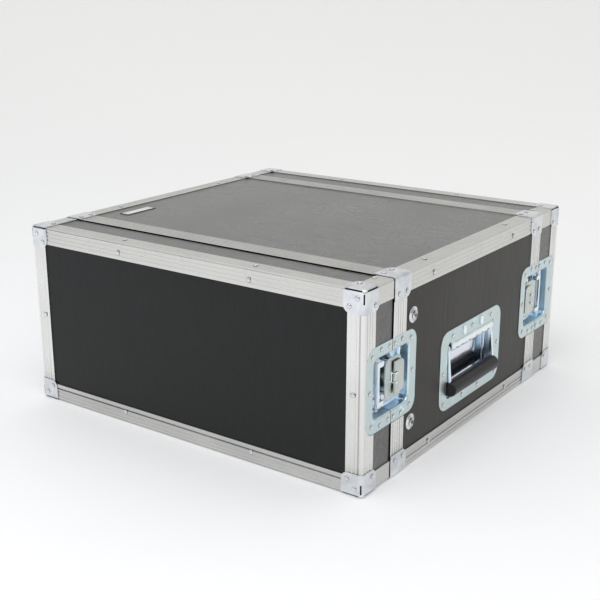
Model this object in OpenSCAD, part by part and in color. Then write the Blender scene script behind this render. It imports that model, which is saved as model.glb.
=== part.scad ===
// Equipment rack case: a laminated plywood box in ribbed aluminium angle, with a
// lift-off lid on the front and on the rear, recessed butterfly latches and
// recessed spring handles on both sides, and drilled rack rails inside the front.
// +Z is up, the front faces -Y, and the origin is under the middle of the case.

/* [Case] */
// Outside width over the corner caps
case_w = 530; // [530:2:560]
// Outside depth over the corner caps, both lids on
case_d = 530; // [500:10:760]
// Height inside, in rack units of 44.45 mm
rack_units = 5; // [5:1:8]
// Depth of each lid, from its outer face to the seam
lid_d = 62.5; // [60:2.5:90]

/* [Panels and extrusions] */
// Thickness of the laminated panels
panel_t = 9; // [8:0.5:9.5]
// Flange width of the edge angles
angle_w = 23; // [21:1:25]
// Width of the rim strip beside each seam
rim_w = 29; // [26:1:32]
// Wall of the aluminium extrusions
ext_t = 1.5; // [1.2:0.1:1.8]
// Steel thickness of the corner caps and braces
cap_t = 1.2; // [1:0.1:1.4]
// Reach of a corner cap's leaf from the corner
cap_reach = 29; // [27:1:32]
// Length of a body brace's leaf from the seam
brace_reach = 35; // [33:1:40]

/* [Latches] */
// Length of a latch dish across the seam
latch_w = 110; // [108:1:114]
// Height of a latch dish
latch_h = 104; // [102:1:108]
// Distance from the seam to the latch spindle
spindle_y = 12.5; // [12:0.5:13]
// Offset of the eccentric that draws the hook
eccentric = 3; // [2.5:0.25:3]

/* [Handles] */
// Length of a handle dish
handle_w = 168; // [166:1:176]
// Height of a handle dish
handle_h = 106; // [106:1:112]
// Height of a handle dish's middle above the floor
handle_z = 93; // [93:1:110]
// Radius of the rubber grip
grip_r = 10; // [9:0.5:10]

/* [Rack rails] */
// Distance from the seam back to the rails' front faces
rail_setback = 34.5; // [33:0.5:60]
// Radius of the round rack holes
rack_hole_r = 3.5; // [3.25:0.05:3.55]

/* [Hidden] */
$fn = 48;

right = 1;
left = -1;
front = 1;
rear = -1;
eps = 0.01;

// Box planes, measured from the middle of the case
rack_unit = 44.45;
inner_h = rack_units * rack_unit + 2.35;
case_h = inner_h + 2 * (panel_t + ext_t + cap_t);
xo = case_w / 2 - cap_t;              // faces of the extrusions
yo = case_d / 2 - cap_t;
zo = case_h / 2 - cap_t;
xp = xo - ext_t;                      // outer faces of the panels
yp = yo - ext_t;
zp = zo - ext_t;
xi = xp - panel_t;                    // inner faces of the panels
yi = yp - panel_t;
zi = zp - panel_t;
seam_y = case_d / 2 - lid_d;
lid_gap = 1.1;                        // seam between a lid and the body
butt_gap = 0.1;                       // joint between two butted bars or walls
lid_y = seam_y + lid_gap;
edge_r = 3;                           // rounding of the extrusions' edge

// Ribs on the extrusions
rib_groove_w = 2.4;
rib_groove_t = 0.5;
rib_pitch = 5.2;

// Tongue and groove that close the lids on the body
wall_t = panel_t + 2 * ext_t;
rim_inner_w = 16;
tongue_in = 5;
tongue_t = 3;
tongue_l = 5;
groove_in = 3.5;
groove_wall = 1.2;
groove_l = 7.2;
groove_out = panel_t + ext_t;

// Dishes
dish_t = 1.2;
flange_x = xp + dish_t;
latch_r = 16;
latch_open_y = 39;
latch_open_z = 36;
latch_open_r = 8;
latch_floor_x = flange_x - 14;
cut_gap = 0.6;

// Latch mechanism, as distances above the dish's floor
shaft_r = 3;
fit_gap = 0.06;
hook_lift = 0.7;
hook_t = 2;
hook_half_w = 14;
eccentric_r = 6.5;
window_gap = 0.75;
cover_lift = 7;
cover_t = 1.2;
hub_r = 7;
hub_base = 2.9;
hub_top = 7.6;
wing_axis = 10.6;
wing_pin_r = 1.2;
wing_barrel_r = 2.2;
wing_t = 1.6;
wing_root = 4.2;
wing_back = 2;
wing_reach = 19;
wing_half_w = 20;
lug_in = 4.8;
lug_t = 2;
lug_half_y = 2.6;
keeper_y = 20;
keeper_r = 1.6;
keeper_lift = 5;
keeper_half_l = 30;
claw_lift = 7.2;

// Handle
handle_r = 18;
handle_open_y = 64;
handle_open_low = 38;
handle_open_high = 35;
handle_open_r = 5;
handle_floor_x = flange_x - 15;
rod_r = 3;
rod_x = flange_x - 4;
rod_up = 28.5;
grip_x = flange_x + 1.5;
grip_up = -25.5;
grip_half_l = 63;
arm_in = 58.2;
arm_t = 4;
arm_half_w = 3.8;
bar_r = 4;
spring_half_l = 11;

// Rack rails
rack_hole_x = 465.12 / 2;
rack_hole_steps = [6.35, 22.225, 38.1];
rail_t = 2;
rail_out_x = 243;
rail_in_x = 225.5;
rail_depth = 30;
rail_half_h = inner_h / 2 - 1.3;
rail_screw_y = seam_y - rail_setback - 12;
rail_screw_z = [-rack_unit * 1.5, rack_unit * 1.53];
screw_r = 3;
screw_gap = 0.3;
washer_r = 10;
washer_h = 2.2;

// Rivets. Those of a dish are [y, z] places about its middle, and those of a
// corner are distances from the faces that meet there
rivet_r = 3.2;
rivet_h = 1.5;
latch_body_rivets = [[6, 45], [22, 46], [42, 42], [47, 0], [42, -42], [22, -46], [6, -45]];
latch_lid_rivets = [[-6, 45], [-24, 46], [-43, 42], [-47.5, 0], [-43, -42], [-24, -46], [-6, -45]];
handle_rivets = [
    [0, 44], [54, 44], [-54, 44], [76, -1], [-76, -1], [73, -43], [-73, -43], [22, -45.5], [-22, -45.5]
];
brace_rivets_y = [9.5, 27];
brace_rivet_in = 20;
cap_rivet_near = 9.5;
cap_rivet_far = 20;
angle_rivet_in = 14;
body_angle_rivet_y = 110;
face_rivet_x = 105;

// Puts a shape drawn for the right side and the front on any side and end
module place(side, end) {
    mirror([side < 0 ? 1 : 0, 0, 0])
        mirror([0, end < 0 ? 1 : 0, 0])
            children();
}

// Raises shapes drawn about the middle of the case to stand on the floor
module stand() {
    translate([0, 0, case_h / 2]) children();
}

// Turns a drawing of the right side (across = +Y, up = +Z, out = +X)
module on_side(x, y = 0, z = 0) {
    translate([x, y, z]) rotate([90, 0, 90]) children();
}

module rounded_rect(w, h, r) {
    for (x = [-1, 1], y = [-1, 1])
        translate([x * (w / 2 - r), y * (h / 2 - r)]) circle(r);
    square([w - 2 * r, h], center = true);
    square([w, h - 2 * r], center = true);
}

// ---- extrusion profiles -------------------------------------------------

module rib_grooves(first, count) {
    for (i = [0 : count - 1])
        translate([first + i * rib_pitch, -eps]) square([rib_groove_w, rib_groove_t + eps]);
}

// Angle with its outer edge at the origin and its flanges along +X and +Y
module angle_profile(ribbed = true) {
    difference() {
        union() {
            translate([edge_r, edge_r]) circle(edge_r);
            translate([edge_r, 0]) square([angle_w - edge_r, ext_t]);
            translate([0, edge_r]) square([ext_t, angle_w - edge_r]);
        }
        translate([ext_t, ext_t]) square(angle_w);
        if (ribbed) {
            rib_grooves(5, 3);
            mirror([1, -1]) rib_grooves(5, 3);
        }
    }
}

module angle_x(sz, half_l) {
    mirror([0, 0, sz > 0 ? 1 : 0])
        translate([-half_l, -yo, -zo]) rotate([90, 0, 90])
            linear_extrude(2 * half_l) angle_profile();
}

module angle_y(sx, sz, y0, y1, ribbed = true) {
    mirror([sx > 0 ? 1 : 0, 0, 0]) mirror([0, 0, sz > 0 ? 1 : 0])
        translate([-xo, y1, -zo]) rotate([90, 0, 0])
            linear_extrude(y1 - y0) angle_profile(ribbed);
}

module angle_z(sx, half_l) {
    mirror([sx > 0 ? 1 : 0, 0, 0])
        translate([-xo, -yo, -half_l]) linear_extrude(2 * half_l) angle_profile();
}

// Rim section: X runs from the seam into the body, Y from the face inwards
module rim_outer() {
    difference() {
        square([rim_w, ext_t]);
        rib_grooves(3.4, 5);
    }
    square([ext_t, wall_t]);
}

module rim_inner() {
    translate([0, wall_t - ext_t]) square([rim_inner_w, ext_t]);
    translate([-tongue_l, tongue_in]) square([tongue_l + ext_t, tongue_t]);
}

// The level bars' outer corners are rounded to sit inside the corner braces
module rim_along_x(sz) {
    mirror([0, 0, sz > 0 ? 1 : 0]) {
        intersection() {
            translate([-xo, -seam_y, -zo]) rotate([90, 0, 90]) linear_extrude(2 * xo) rim_outer();
            rotate([90, 0, 0]) linear_extrude(case_d) rounded_rect(2 * xo, 2 * zo, edge_r + 0.3);
        }
        translate([-xi, -seam_y, -zo]) rotate([90, 0, 90]) linear_extrude(2 * xi) rim_inner();
    }
}

// The side bars stop at the latch dishes
module rim_along_z(sx, sz) {
    low = latch_h / 2 + 0.3;
    high = zo - wall_t - butt_gap;
    mirror([sx > 0 ? 1 : 0, 0, 0]) mirror([0, 0, sz > 0 ? 0 : 1])
        translate([-xo, -seam_y, low]) linear_extrude(high - low) mirror([1, -1]) {
            rim_outer();
            rim_inner();
        }
}

module rim(end) {
    color("silver") stand() place(right, end) {
        for (sz = [-1, 1]) rim_along_x(sz);
        for (sx = [-1, 1], sz = [-1, 1]) rim_along_z(sx, sz);
    }
}

// ---- body ---------------------------------------------------------------

module panel_level(sz) {
    color("dimgray") stand() translate([-xp, -seam_y + ext_t, sz > 0 ? zi : -zp])
        cube([2 * xp, 2 * (seam_y - ext_t), panel_t]);
}

module latch_cut(side_y) {
    half_z = latch_open_z + dish_t + cut_gap;
    depth = latch_open_y + dish_t + cut_gap;
    translate([xi - eps, side_y, -half_z]) cube([panel_t + 2 * eps, depth + eps, 2 * half_z]);
}

module handle_cut() {
    half_y = handle_open_y + dish_t + 1.8;
    low = handle_z - case_h / 2 - handle_open_low - dish_t - cut_gap;
    high = handle_z - case_h / 2 + handle_open_high + dish_t + cut_gap;
    translate([xi - eps, -half_y, low]) cube([panel_t + 2 * eps, 2 * half_y, high - low]);
}

module rail_screw_holes(x0, x1) {
    for (z = rail_screw_z)
        translate([x0, -rail_screw_y, z]) rotate([0, 90, 0]) cylinder(r = screw_r + screw_gap, h = x1 - x0);
}

module panel_side(side) {
    color("dimgray") stand() place(side, front) difference() {
        translate([xi, -seam_y + ext_t, -zi]) cube([panel_t, 2 * (seam_y - ext_t), 2 * zi]);
        latch_cut(-seam_y);
        mirror([0, 1, 0]) latch_cut(-seam_y);
        handle_cut();
        rail_screw_holes(xi - 1, xp + 1);
    }
}

module body_edge_angles() {
    half_l = seam_y - rim_w;
    color("silver") stand()
        for (sx = [-1, 1], sz = [-1, 1]) angle_y(sx, sz, -half_l, half_l);
}

// Leaf outline with its corner at the origin and one rounded far corner
module leaf(w, h, r = 9) {
    square([w, h - r]);
    square([w - r, h]);
    translate([w - r, h - r]) circle(r);
}

// Steel angle over the rim's corner; X runs along the seam edge into the body
module brace_shell() {
    outer_r = edge_r + cap_t;
    intersection() {
        rotate([90, 0, 90]) linear_extrude(brace_reach) difference() {
            union() {
                translate([outer_r, outer_r]) circle(outer_r);
                translate([outer_r, 0]) square([cap_reach - outer_r, cap_t]);
                translate([0, outer_r]) square([cap_t, cap_reach - outer_r]);
            }
            translate([cap_t, outer_r]) square(cap_reach);
            translate([outer_r, cap_t]) square(cap_reach);
            translate([outer_r, outer_r]) circle(edge_r);
        }
        linear_extrude(cap_reach) leaf(brace_reach, cap_reach);
        translate([0, cap_reach, 0]) rotate([90, 0, 0]) linear_extrude(cap_reach)
            leaf(brace_reach, cap_reach);
    }
}

module body_corner_braces() {
    color("lightgray") stand()
        for (side = [left, right], end = [front, rear], sz = [-1, 1])
            place(side, end) mirror([0, 0, sz > 0 ? 1 : 0])
                translate([xo + cap_t, -seam_y, -zo - cap_t]) rotate([0, 0, 90]) brace_shell();
}

module name_plate() {
    plate = [16, 56, 0.8];
    color("gainsboro") stand() translate([-214, -seam_y + 90, zp]) {
        translate([-plate[0] / 2, -plate[1] / 2, 0]) cube(plate);
        for (y = [-1, 1]) translate([0, y * 23, plate[2]]) cylinder(r = 1.6, h = 0.7);
    }
}

// ---- rack rails ---------------------------------------------------------

module rack_rail(side) {
    rail_y = seam_y - rail_setback;
    color("slategray") stand() place(side, front) difference() {
        union() {
            translate([rail_in_x, -rail_y, -rail_half_h])
                cube([rail_out_x - rail_in_x, rail_t, 2 * rail_half_h]);
            translate([rail_out_x - rail_t, -rail_y, -rail_half_h])
                cube([rail_t, rail_depth, 2 * rail_half_h]);
        }
        for (u = [0 : rack_units - 1], step = rack_hole_steps)
            translate([rack_hole_x, -rail_y - 1, (u - rack_units / 2) * rack_unit + step])
                rotate([-90, 0, 0]) cylinder(r = rack_hole_r, h = rail_t + 2);
        rail_screw_holes(rail_out_x - rail_t - 1, rail_out_x + 1);
    }
}

module each_rail_screw() {
    for (side = [left, right], z = rail_screw_z)
        place(side, front) translate([0, -rail_screw_y, z]) rotate([0, 90, 0]) children();
}

module rail_spacers() {
    spacer_w = 24;
    color("burlywood") stand() each_rail_screw()
        translate([0, 0, rail_out_x]) difference() {
            translate([-spacer_w / 2, -9, 0]) cube([spacer_w, 20, xi - rail_out_x]);
            translate([0, 0, -1]) cylinder(r = screw_r + screw_gap, h = 20);
        }
}

module cup_washers() {
    color("lightgray") stand() each_rail_screw() translate([0, 0, xp]) difference() {
        union() {
            cylinder(r = washer_r, h = 0.8);
            translate([0, 0, 0.8]) cylinder(r1 = washer_r - 0.6, r2 = 6.6, h = washer_h - 0.8);
        }
        translate([0, 0, -1]) cylinder(r = screw_r + screw_gap, h = washer_h + 2);
        translate([0, 0, 0.6]) cylinder(r1 = screw_r + screw_gap, r2 = 6, h = washer_h);
    }
}

module rail_screws() {
    head_r = 5.4;
    shank = xp - rail_out_x + 8;
    color("silver") stand() each_rail_screw() difference() {
        union() {
            translate([0, 0, xp - shank]) cylinder(r = screw_r, h = shank + 0.8);
            translate([0, 0, xp + 0.8]) cylinder(r1 = screw_r, r2 = head_r, h = 1.9);
        }
        for (a = [0, 90]) rotate(a) translate([-3, -0.6, xp + 1.5]) cube([6, 1.2, 2]);
    }
}

module rail_nuts() {
    nut_h = 5;
    color("silver") stand() each_rail_screw()
        translate([0, 0, rail_out_x - rail_t - nut_h]) difference() {
            cylinder(r = 5.77, h = nut_h, $fn = 6);
            translate([0, 0, -1]) cylinder(r = screw_r + 0.02, h = nut_h + 2);
        }
}

// ---- rivets -------------------------------------------------------------

module rivet() {
    cylinder(r = rivet_r, h = 0.6);
    translate([0, 0, 0.6]) cylinder(r1 = rivet_r, r2 = 1.7, h = rivet_h - 0.6);
}

// Rivet heads on a side face at [y, z] pairs, on the surface at x
module side_rivets(x, places) {
    for (p = places) on_side(x, p[0], p[1]) rivet();
}

module body_rivets() {
    color("lightgray") stand() for (side = [left, right]) {
        place(side, front) {
            side_rivets(flange_x, [for (p = handle_rivets) [p[0], p[1] + handle_z - case_h / 2]]);
            for (sy = [-1, 1]) {
                y = sy * body_angle_rivet_y;
                side_rivets(xo, [for (sz = [-1, 1]) [y, sz * (zo - angle_rivet_in)]]);
                translate([xo - angle_rivet_in, y, zo]) rivet();
            }
        }
        for (end = [front, rear]) place(side, end) {
            side_rivets(flange_x, [for (p = latch_body_rivets) [p[0] - seam_y, p[1]]]);
            for (y = brace_rivets_y) {
                side_rivets(xo + cap_t, [for (sz = [-1, 1]) [y - seam_y, sz * (zo - brace_rivet_in)]]);
                translate([xo - brace_rivet_in, y - seam_y, zo + cap_t]) rivet();
            }
        }
    }
}

// ---- handles ------------------------------------------------------------

module handle_opening(grow) {
    h = handle_open_low + handle_open_high + 2 * grow;
    translate([0, (handle_open_high - handle_open_low) / 2])
        rounded_rect(2 * (handle_open_y + grow), h, handle_open_r + grow);
}

module handle_frame(side) {
    stand() place(side, front) translate([0, 0, handle_z - case_h / 2]) children();
}

// Strip rolled down from the flange over the hinge rod, notched along its lower edge
module hinge_cover() {
    half_l = arm_in - 0.7;
    top = handle_open_high + 0.5;
    notch = [3, 5, 4];
    translate([flange_x, 0, rod_up]) difference() {
        translate([0, half_l, 0]) rotate([90, 0, 0]) linear_extrude(2 * half_l)
            polygon([
                [0, top - rod_up], [0.6, 5.5], [1.7, 2], [1.7, 0], [1.2, -2.6], [0, -4.6],
                [-0.9, -3.9], [0.1, -2.3], [0.5, 0], [0.5, 1.8], [-0.6, 4.8], [-1.2, top - rod_up]
            ]);
        for (y = [-45, -30, -10, 12, 27, 44])
            translate([-1, y - notch[1] / 2, -2.4 - notch[2]]) cube(notch);
    }
}

module handle_dish(side) {
    bump = [4.5, 11, 1.6];
    color("lightsteelblue") handle_frame(side) {
        difference() {
            union() {
                on_side(xp) linear_extrude(dish_t) rounded_rect(handle_w, handle_h, handle_r);
                on_side(handle_floor_x - dish_t)
                    linear_extrude(flange_x - handle_floor_x + dish_t) handle_opening(dish_t);
                for (y = [-24, 24])
                    translate([flange_x - eps, y - bump[0] / 2, 39]) cube([bump[2], bump[0], bump[1]]);
            }
            on_side(handle_floor_x) linear_extrude(30) handle_opening(0);
            translate([rod_x, -100, rod_up]) rotate([-90, 0, 0])
                cylinder(r = rod_r + fit_gap, h = 200);
        }
        hinge_cover();
    }
}

module handle_rod(side) {
    half_l = handle_open_y + dish_t + 1;
    color("silver") handle_frame(side)
        translate([rod_x, -half_l, rod_up]) rotate([-90, 0, 0]) cylinder(r = rod_r, h = 2 * half_l);
}

module handle_spring(side) {
    color("silver") handle_frame(side)
        translate([rod_x, -spring_half_l, rod_up]) rotate([-90, 0, 0]) difference() {
            cylinder(r = arm_half_w, h = 2 * spring_half_l);
            translate([0, 0, -1]) cylinder(r = rod_r + 0.3, h = 2 * spring_half_l + 2);
        }
}

// Arm from the hinge rod down to the grip bar, in X and Z, larger all round by grow
module arm_outline(grow = 0) {
    strap_half_w = 2.2 + grow;
    run = [grip_x - rod_x, grip_up - rod_up];
    translate([rod_x, rod_up]) circle(arm_half_w + grow);
    translate([grip_x, grip_up]) circle(bar_r + 0.6 + grow);
    translate([rod_x, rod_up]) rotate(atan2(run[1], run[0]))
        translate([0, -strap_half_w]) square([norm(run), 2 * strap_half_w]);
}

module bail_arms(grow = 0) {
    for (sy = [-1, 1])
        translate([0, (sy > 0 ? arm_in + arm_t : -arm_in) + grow, 0]) rotate([90, 0, 0])
            linear_extrude(arm_t + 2 * grow) arm_outline(grow);
}

module handle_bail(side) {
    color("lightgray") handle_frame(side) difference() {
        union() {
            bail_arms();
            for (sy = [-1, 1])
                translate([rod_x, sy > 0 ? spring_half_l + 0.5 : -arm_in - eps, rod_up])
                    rotate([-90, 0, 0])
                        cylinder(r = arm_half_w, h = arm_in - spring_half_l - 0.5 + eps);
            translate([grip_x, -arm_in, grip_up]) rotate([-90, 0, 0])
                cylinder(r = bar_r, h = 2 * arm_in);
        }
        translate([rod_x, -100, rod_up]) rotate([-90, 0, 0]) cylinder(r = rod_r + fit_gap, h = 200);
    }
}

// Moulded round the bar and the lower ends of the arms
module handle_grip(side) {
    mould_gap = 0.05;
    color([0.1, 0.1, 0.1]) handle_frame(side) difference() {
        translate([grip_x, -grip_half_l, grip_up]) rotate([-90, 0, 0])
            cylinder(r = grip_r, h = 2 * grip_half_l);
        translate([grip_x, -arm_in, grip_up]) rotate([-90, 0, 0])
            cylinder(r = bar_r + mould_gap, h = 2 * arm_in);
        bail_arms(mould_gap);
    }
}

// ---- latches ------------------------------------------------------------

// The pressed dish before it is split at the seam, y = 0
module whole_latch_dish() {
    difference() {
        union() {
            on_side(xp) linear_extrude(dish_t) rounded_rect(latch_w, latch_h, latch_r);
            on_side(latch_floor_x - dish_t) linear_extrude(flange_x - latch_floor_x + dish_t)
                rounded_rect(2 * (latch_open_y + dish_t), 2 * (latch_open_z + dish_t),
                    latch_open_r + dish_t);
        }
        on_side(latch_floor_x) linear_extrude(30)
            rounded_rect(2 * latch_open_y, 2 * latch_open_z, latch_open_r);
    }
}

module at_latch(side, end) {
    stand() place(side, end) translate([0, -seam_y, 0]) children();
}

// Body half of the dish, with the spindle's bearing hole
module latch_dish(side, end) {
    color("lightsteelblue") at_latch(side, end) difference() {
        whole_latch_dish();
        translate([0, -latch_w, -latch_h]) cube([2 * xo, latch_w, 2 * latch_h]);
        translate([0, spindle_y, 0]) rotate([0, 90, 0])
            cylinder(r = shaft_r + fit_gap, h = 2 * xo);
    }
}

// Turns about the spindle: shaft with its peened end, eccentric, hub and two lugs
module latch_cam(side, end) {
    head_r = 5;
    color("silver") at_latch(side, end) translate([latch_floor_x, spindle_y, 0]) {
        rotate([0, 90, 0]) {
            translate([0, 0, -dish_t - 1.3]) cylinder(r = head_r, h = 1.2);
            translate([0, 0, -dish_t - 0.2]) cylinder(r = shaft_r, h = dish_t + 1.2);
            translate([0, eccentric, 0.9]) cylinder(r = eccentric_r, h = hub_base - 0.9);
            translate([0, 0, hub_base]) cylinder(r = hub_r, h = hub_top - hub_base);
        }
        difference() {
            union() {
                for (z = [-lug_in - lug_t, lug_in])
                    translate([hub_top - 0.1, -lug_half_y, z])
                        cube([wing_axis + lug_half_y - hub_top, 2 * lug_half_y, lug_t]);
                translate([hub_top - 0.1, -lug_half_y, -lug_in - lug_t])
                    cube([0.7, 2 * lug_half_y, 2 * (lug_in + lug_t)]);
            }
            translate([wing_axis, 0, -20]) cylinder(r = wing_pin_r + 0.05, h = 40);
        }
    }
}

// Plate outline about the pin, notched round the lugs
module wing_outline() {
    r = 7;
    notch_half = lug_in + lug_t + 0.6;
    difference() {
        union() {
            for (z = [-1, 1]) translate([wing_reach - r, z * (wing_half_w - r)]) circle(r);
            translate([-wing_back, -wing_half_w])
                square([wing_back + wing_reach - r, 2 * wing_half_w]);
            translate([-wing_back, r - wing_half_w])
                square([wing_back + wing_reach, 2 * (wing_half_w - r)]);
        }
        translate([-wing_back - 1, -notch_half]) square([wing_back + 1 + wing_root, 2 * notch_half]);
    }
}

module latch_wing(side, end) {
    neck_half = lug_in - 0.4;
    color("gainsboro") at_latch(side, end)
        translate([latch_floor_x + wing_axis, spindle_y, 0]) {
            translate([0, 0, -lug_in - lug_t]) cylinder(r = wing_pin_r, h = 2 * (lug_in + lug_t));
            translate([0, 0, -neck_half]) cylinder(r = wing_barrel_r, h = 2 * neck_half);
            translate([-wing_t / 2, 0, -neck_half])
                cube([wing_t, wing_root + eps, 2 * neck_half]);
            on_side(-wing_t / 2) linear_extrude(wing_t) wing_outline();
        }
}

// Draw plate with a window for the eccentric, and an open claw raised over the keeper
module latch_hook(side, end) {
    claw_end = 23;
    claw_bar = 4;
    riser = 10;
    claw_half_w = 27;
    arm_w = 6;
    tail = 24;
    window_half_y = eccentric_r + window_gap;
    window_half_z = eccentric_r + eccentric + 0.5;
    color("lightgray") at_latch(side, end) translate([latch_floor_x, 0, 0]) {
        difference() {
            union() {
                translate([hook_lift, -riser, -hook_half_w])
                    cube([hook_t, riser + tail, 2 * hook_half_w]);
                translate([hook_lift, -riser - hook_t, -claw_half_w])
                    cube([hook_t, 2 * hook_t, 2 * claw_half_w]);
            }
            translate([0, spindle_y + eccentric - window_half_y, -window_half_z])
                cube([5, 2 * window_half_y, 2 * window_half_z]);
        }
        for (z = [-claw_half_w, claw_half_w - arm_w]) {
            translate([hook_lift, -riser - hook_t, z])
                cube([claw_lift + hook_t - hook_lift, hook_t, arm_w]);
            translate([claw_lift, -claw_end, z]) cube([hook_t, claw_end - riser, arm_w]);
        }
        translate([claw_lift, -claw_end, -claw_half_w]) cube([hook_t, claw_bar, 2 * claw_half_w]);
    }
}

// Bridge plate over the hook, riveted to the dish on four posts
module latch_covers() {
    cover_w = 36;
    cover_h = 50;
    post_y = 9.5;
    post_z = 18.5;
    post_r = 2.2;
    color("gainsboro") for (side = [left, right], end = [front, rear])
        at_latch(side, end) translate([latch_floor_x, 0, 0]) {
            difference() {
                on_side(cover_lift, spindle_y) linear_extrude(cover_t)
                    rounded_rect(cover_w, cover_h, 9);
                translate([0, spindle_y, 0]) rotate([0, 90, 0]) cylinder(r = hub_r + 0.5, h = 20);
            }
            for (sy = [-1, 1], sz = [-1, 1])
                on_side(0, spindle_y + sy * post_y, sz * post_z)
                    cylinder(r = post_r, h = cover_lift + 0.1);
        }
}

// ---- lids ---------------------------------------------------------------

module lid_face(end) {
    color([0.19, 0.19, 0.2]) stand() place(right, end)
        translate([-xp, -yp, -zp]) cube([2 * xp, panel_t, 2 * zp]);
}

// Lid walls, rebated for the groove profile and cut out for the latch dishes
module lid_walls(end) {
    color("dimgray") stand() place(right, end) {
        for (sz = [-1, 1]) mirror([0, 0, sz < 0 ? 1 : 0]) difference() {
            translate([-xp, -yi, zi]) cube([2 * xp, yi - lid_y, panel_t]);
            translate([-xo + groove_in, -lid_y - groove_l, zi - eps])
                cube([2 * (xo - groove_in), groove_l + eps, groove_out - groove_in + eps]);
        }
        for (sx = [-1, 1]) mirror([sx < 0 ? 1 : 0, 0, 0]) difference() {
            translate([xi, -yi, butt_gap - zi]) cube([panel_t, yi - lid_y, 2 * (zi - butt_gap)]);
            translate([xi - eps, -lid_y - groove_l, -zi - eps])
                cube([groove_out - groove_in + eps, groove_l + eps, 2 * (zi + eps)]);
            mirror([0, 1, 0]) latch_cut(seam_y - eps);
        }
    }
}

// Groove section: X runs from the seam into the lid, Y from the face inwards
module groove_section() {
    difference() {
        translate([0, groove_in]) square([groove_l, groove_out - groove_in]);
        translate([-1, groove_in + groove_wall])
            square([groove_l - groove_wall + 1, groove_out - groove_in - 2 * groove_wall]);
    }
}

module lid_groove(end) {
    low = latch_open_z + dish_t + cut_gap + 0.4;
    color("silver") stand() place(right, end) mirror([0, 1, 0]) {
        for (sz = [-1, 1]) mirror([0, 0, sz > 0 ? 1 : 0])
            translate([-xo + groove_in, lid_y, -zo]) rotate([90, 0, 90])
                linear_extrude(2 * (xo - groove_in)) groove_section();
        for (sx = [-1, 1], sz = [-1, 1])
            mirror([sx > 0 ? 1 : 0, 0, 0]) mirror([0, 0, sz > 0 ? 0 : 1])
                translate([-xo, lid_y, low]) linear_extrude(zi - low - butt_gap)
                    mirror([1, -1]) groove_section();
    }
}

// The upright angles are notched round the latch dishes
module lid_angles(end) {
    notch_gap = 0.3;
    color("silver") stand() place(right, end) difference() {
        union() {
            for (sz = [-1, 1]) angle_x(sz, xo - angle_w - butt_gap);
            for (sx = [-1, 1]) angle_z(sx, zo - edge_r - 0.2);
            for (sx = [-1, 1], sz = [-1, 1])
                angle_y(sx, sz, -yo + angle_w + butt_gap, -lid_y, false);
        }
        for (sx = [0, 1]) mirror([sx, 0, 0])
            on_side(xp - eps, -seam_y) linear_extrude(2 * ext_t)
                rounded_rect(latch_w + 2 * notch_gap, latch_h + 2 * notch_gap, latch_r + notch_gap);
    }
}

// Solid corner with its point at the origin and its three edges rounded
module corner_block(s, r) {
    translate([0, r, r]) cube([s, s - r, s - r]);
    translate([r, 0, r]) cube([s - r, s, s - r]);
    translate([r, r, 0]) cube([s - r, s - r, s]);
    translate([r, r, r]) {
        sphere(r);
        cylinder(r = r, h = s - r);
        rotate([0, 90, 0]) cylinder(r = r, h = s - r);
        rotate([-90, 0, 0]) cylinder(r = r, h = s - r);
    }
}

// Pressed steel cap with three rounded leaves, slit between each leaf and the next
module corner_cap() {
    slit_w = 1.6;
    slit_from = 5;
    slit_in = cap_t + 0.2;
    upright_slit_l = 12;
    difference() {
        intersection() {
            difference() {
                corner_block(cap_reach + 2, edge_r + cap_t);
                translate([cap_t, cap_t, cap_t]) corner_block(cap_reach + 4, edge_r);
            }
            linear_extrude(cap_reach + 1) leaf(cap_reach, cap_reach);
            translate([0, cap_reach + 1, 0]) rotate([90, 0, 0])
                linear_extrude(cap_reach + 1) leaf(cap_reach, cap_reach);
            rotate([90, 0, 90]) linear_extrude(cap_reach + 1) leaf(cap_reach, cap_reach);
        }
        translate([slit_from, -1, slit_in]) cube([cap_reach, 2 * edge_r, slit_w]);
        translate([-1, slit_from, slit_in]) cube([2 * edge_r, cap_reach, slit_w]);
        translate([slit_in, -1, slit_from]) cube([slit_w, 2 * edge_r, upright_slit_l]);
    }
}

module lid_caps(end) {
    color("lightgray") stand() place(right, end)
        for (sx = [-1, 1], sz = [-1, 1])
            mirror([sx > 0 ? 1 : 0, 0, 0]) mirror([0, 0, sz > 0 ? 1 : 0])
                translate([-xo - cap_t, -yo - cap_t, -zo - cap_t]) corner_cap();
}

module lid_dishes(end) {
    color("lightsteelblue") for (side = [left, right]) at_latch(side, end) difference() {
        whole_latch_dish();
        translate([0, -lid_gap, -latch_h]) cube([2 * xo, latch_w, 2 * latch_h]);
    }
}

// Bar that the hook pulls on, held between two lugs on the lid's half dish
module lid_keepers(end) {
    lug = [keeper_lift + 2.2, 7, 3.5];
    color("lightgray") for (side = [left, right])
        at_latch(side, end) translate([latch_floor_x, -keeper_y, 0]) {
            translate([keeper_lift, 0, -keeper_half_l]) cylinder(r = keeper_r, h = 2 * keeper_half_l);
            for (sz = [-1, 1])
                translate([0, -lug[1] / 2, sz > 0 ? keeper_half_l - eps : -keeper_half_l - lug[2] + eps])
                    cube(lug);
        }
}

module lid_rivets(end) {
    near = cap_rivet_near;
    far = cap_rivet_far;
    color("lightgray") stand() for (side = [left, right]) place(side, end) {
        side_rivets(flange_x, [for (p = latch_lid_rivets) [p[0] - seam_y, p[1]]]);
        side_rivets(xo + cap_t, [for (sz = [-1, 1]) [far - yo, sz * (zo - far)]]);
        translate([xo - far, far - yo, zo + cap_t]) rivet();
        translate([xo - far, -lid_y - near, zo]) rivet();
        for (sz = [-1, 1]) {
            for (d = [near, far]) front_rivet(xo - d, sz * (zo - d), cap_t);
            front_rivet(face_rivet_x, sz * (zo - angle_rivet_in), 0);
        }
        front_rivet(xo - angle_rivet_in, 0, 0);
        translate([face_rivet_x, angle_rivet_in - yo, zo]) rivet();
    }
}

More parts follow.
